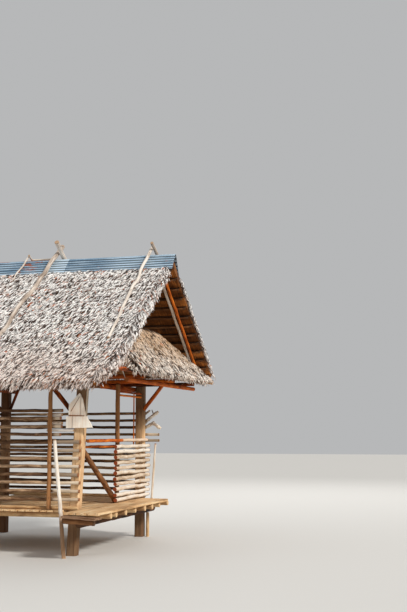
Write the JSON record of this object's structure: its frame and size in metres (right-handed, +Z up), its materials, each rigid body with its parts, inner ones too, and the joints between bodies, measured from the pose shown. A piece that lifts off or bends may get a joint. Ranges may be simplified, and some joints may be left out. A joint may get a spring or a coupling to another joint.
{
  "type": "stilt house",
  "caption": "Small timber hut on squared posts with stick walls, a side ledge, thatched slopes, gable aprons and a corrugated ridge cap",
  "frame": {"origin": "on the ground, below the middle of the house seen from above", "axes": "X runs along the ridge towards the gable with the ledge, Y runs from the front eave to the back eave, Z points up"},
  "size_m": [4.4062, 4.9714, 4.4212],
  "materials": {
    "post_wood": "hewn and weathered",
    "frame_wood": "barked pole, shaded brown",
    "floor_wood": "sawn, sun bleached",
    "stick_wood": "thin barked sticks",
    "pale_wood": "bare pale sticks and boards",
    "orange_wood": "reddish stained pole",
    "thatch_grey": "dry palm leaf thatch, bleached",
    "thatch_tan": "dry palm leaf thatch, tan",
    "zinc_sheet": "zinc coated corrugated sheet, streaks of rust"
  },
  "bodies": {
    "root": {"front_posts": "post_wood", "back_posts": "post_wood", "jamb_posts": "frame_wood", "front_studs": "frame_wood", "wall_plates": "frame_wood", "tie_beams": "frame_wood", "knee_braces": "frame_wood", "floor_bearers": "frame_wood", "floor_joists": "frame_wood", "floor_slats": "floor_wood", "toe_poles": "floor_wood", "side_ledge": "floor_wood", "ledge_header": "frame_wood", "ledge_prop": "post_wood", "front_wall": "stick_wood", "back_wall": "stick_wood", "left_wall": "stick_wood", "half_wall": "pale_wood", "front_offcuts": "pale_wood", "crooked_ends": "pale_wood", "handrail": "orange_wood", "opening_rail": "orange_wood", "opening_brace": "frame_wood", "window_bars": "frame_wood", "corner_stake": "pale_wood", "rafters_front": "frame_wood", "rafters_back": "frame_wood", "ridge_pole": "frame_wood", "battens_front": "frame_wood", "battens_back": "frame_wood", "thatch_front": "thatch_grey", "thatch_back": "thatch_tan", "ridge_sheets": "zinc_sheet", "ridge_weights_front": "pale_wood", "ridge_weights_back": "pale_wood", "ridge_stick": "pale_wood", "outriggers": "orange_wood", "apron_poles_right": "orange_wood", "apron_poles_left": "orange_wood", "apron_thatch_right": "thatch_tan", "apron_thatch_left": "thatch_tan", "corner_board": "pale_wood", "corner_hanger": "stick_wood", "leaning_pole": "pale_wood"}
  },
  "joints": []
}
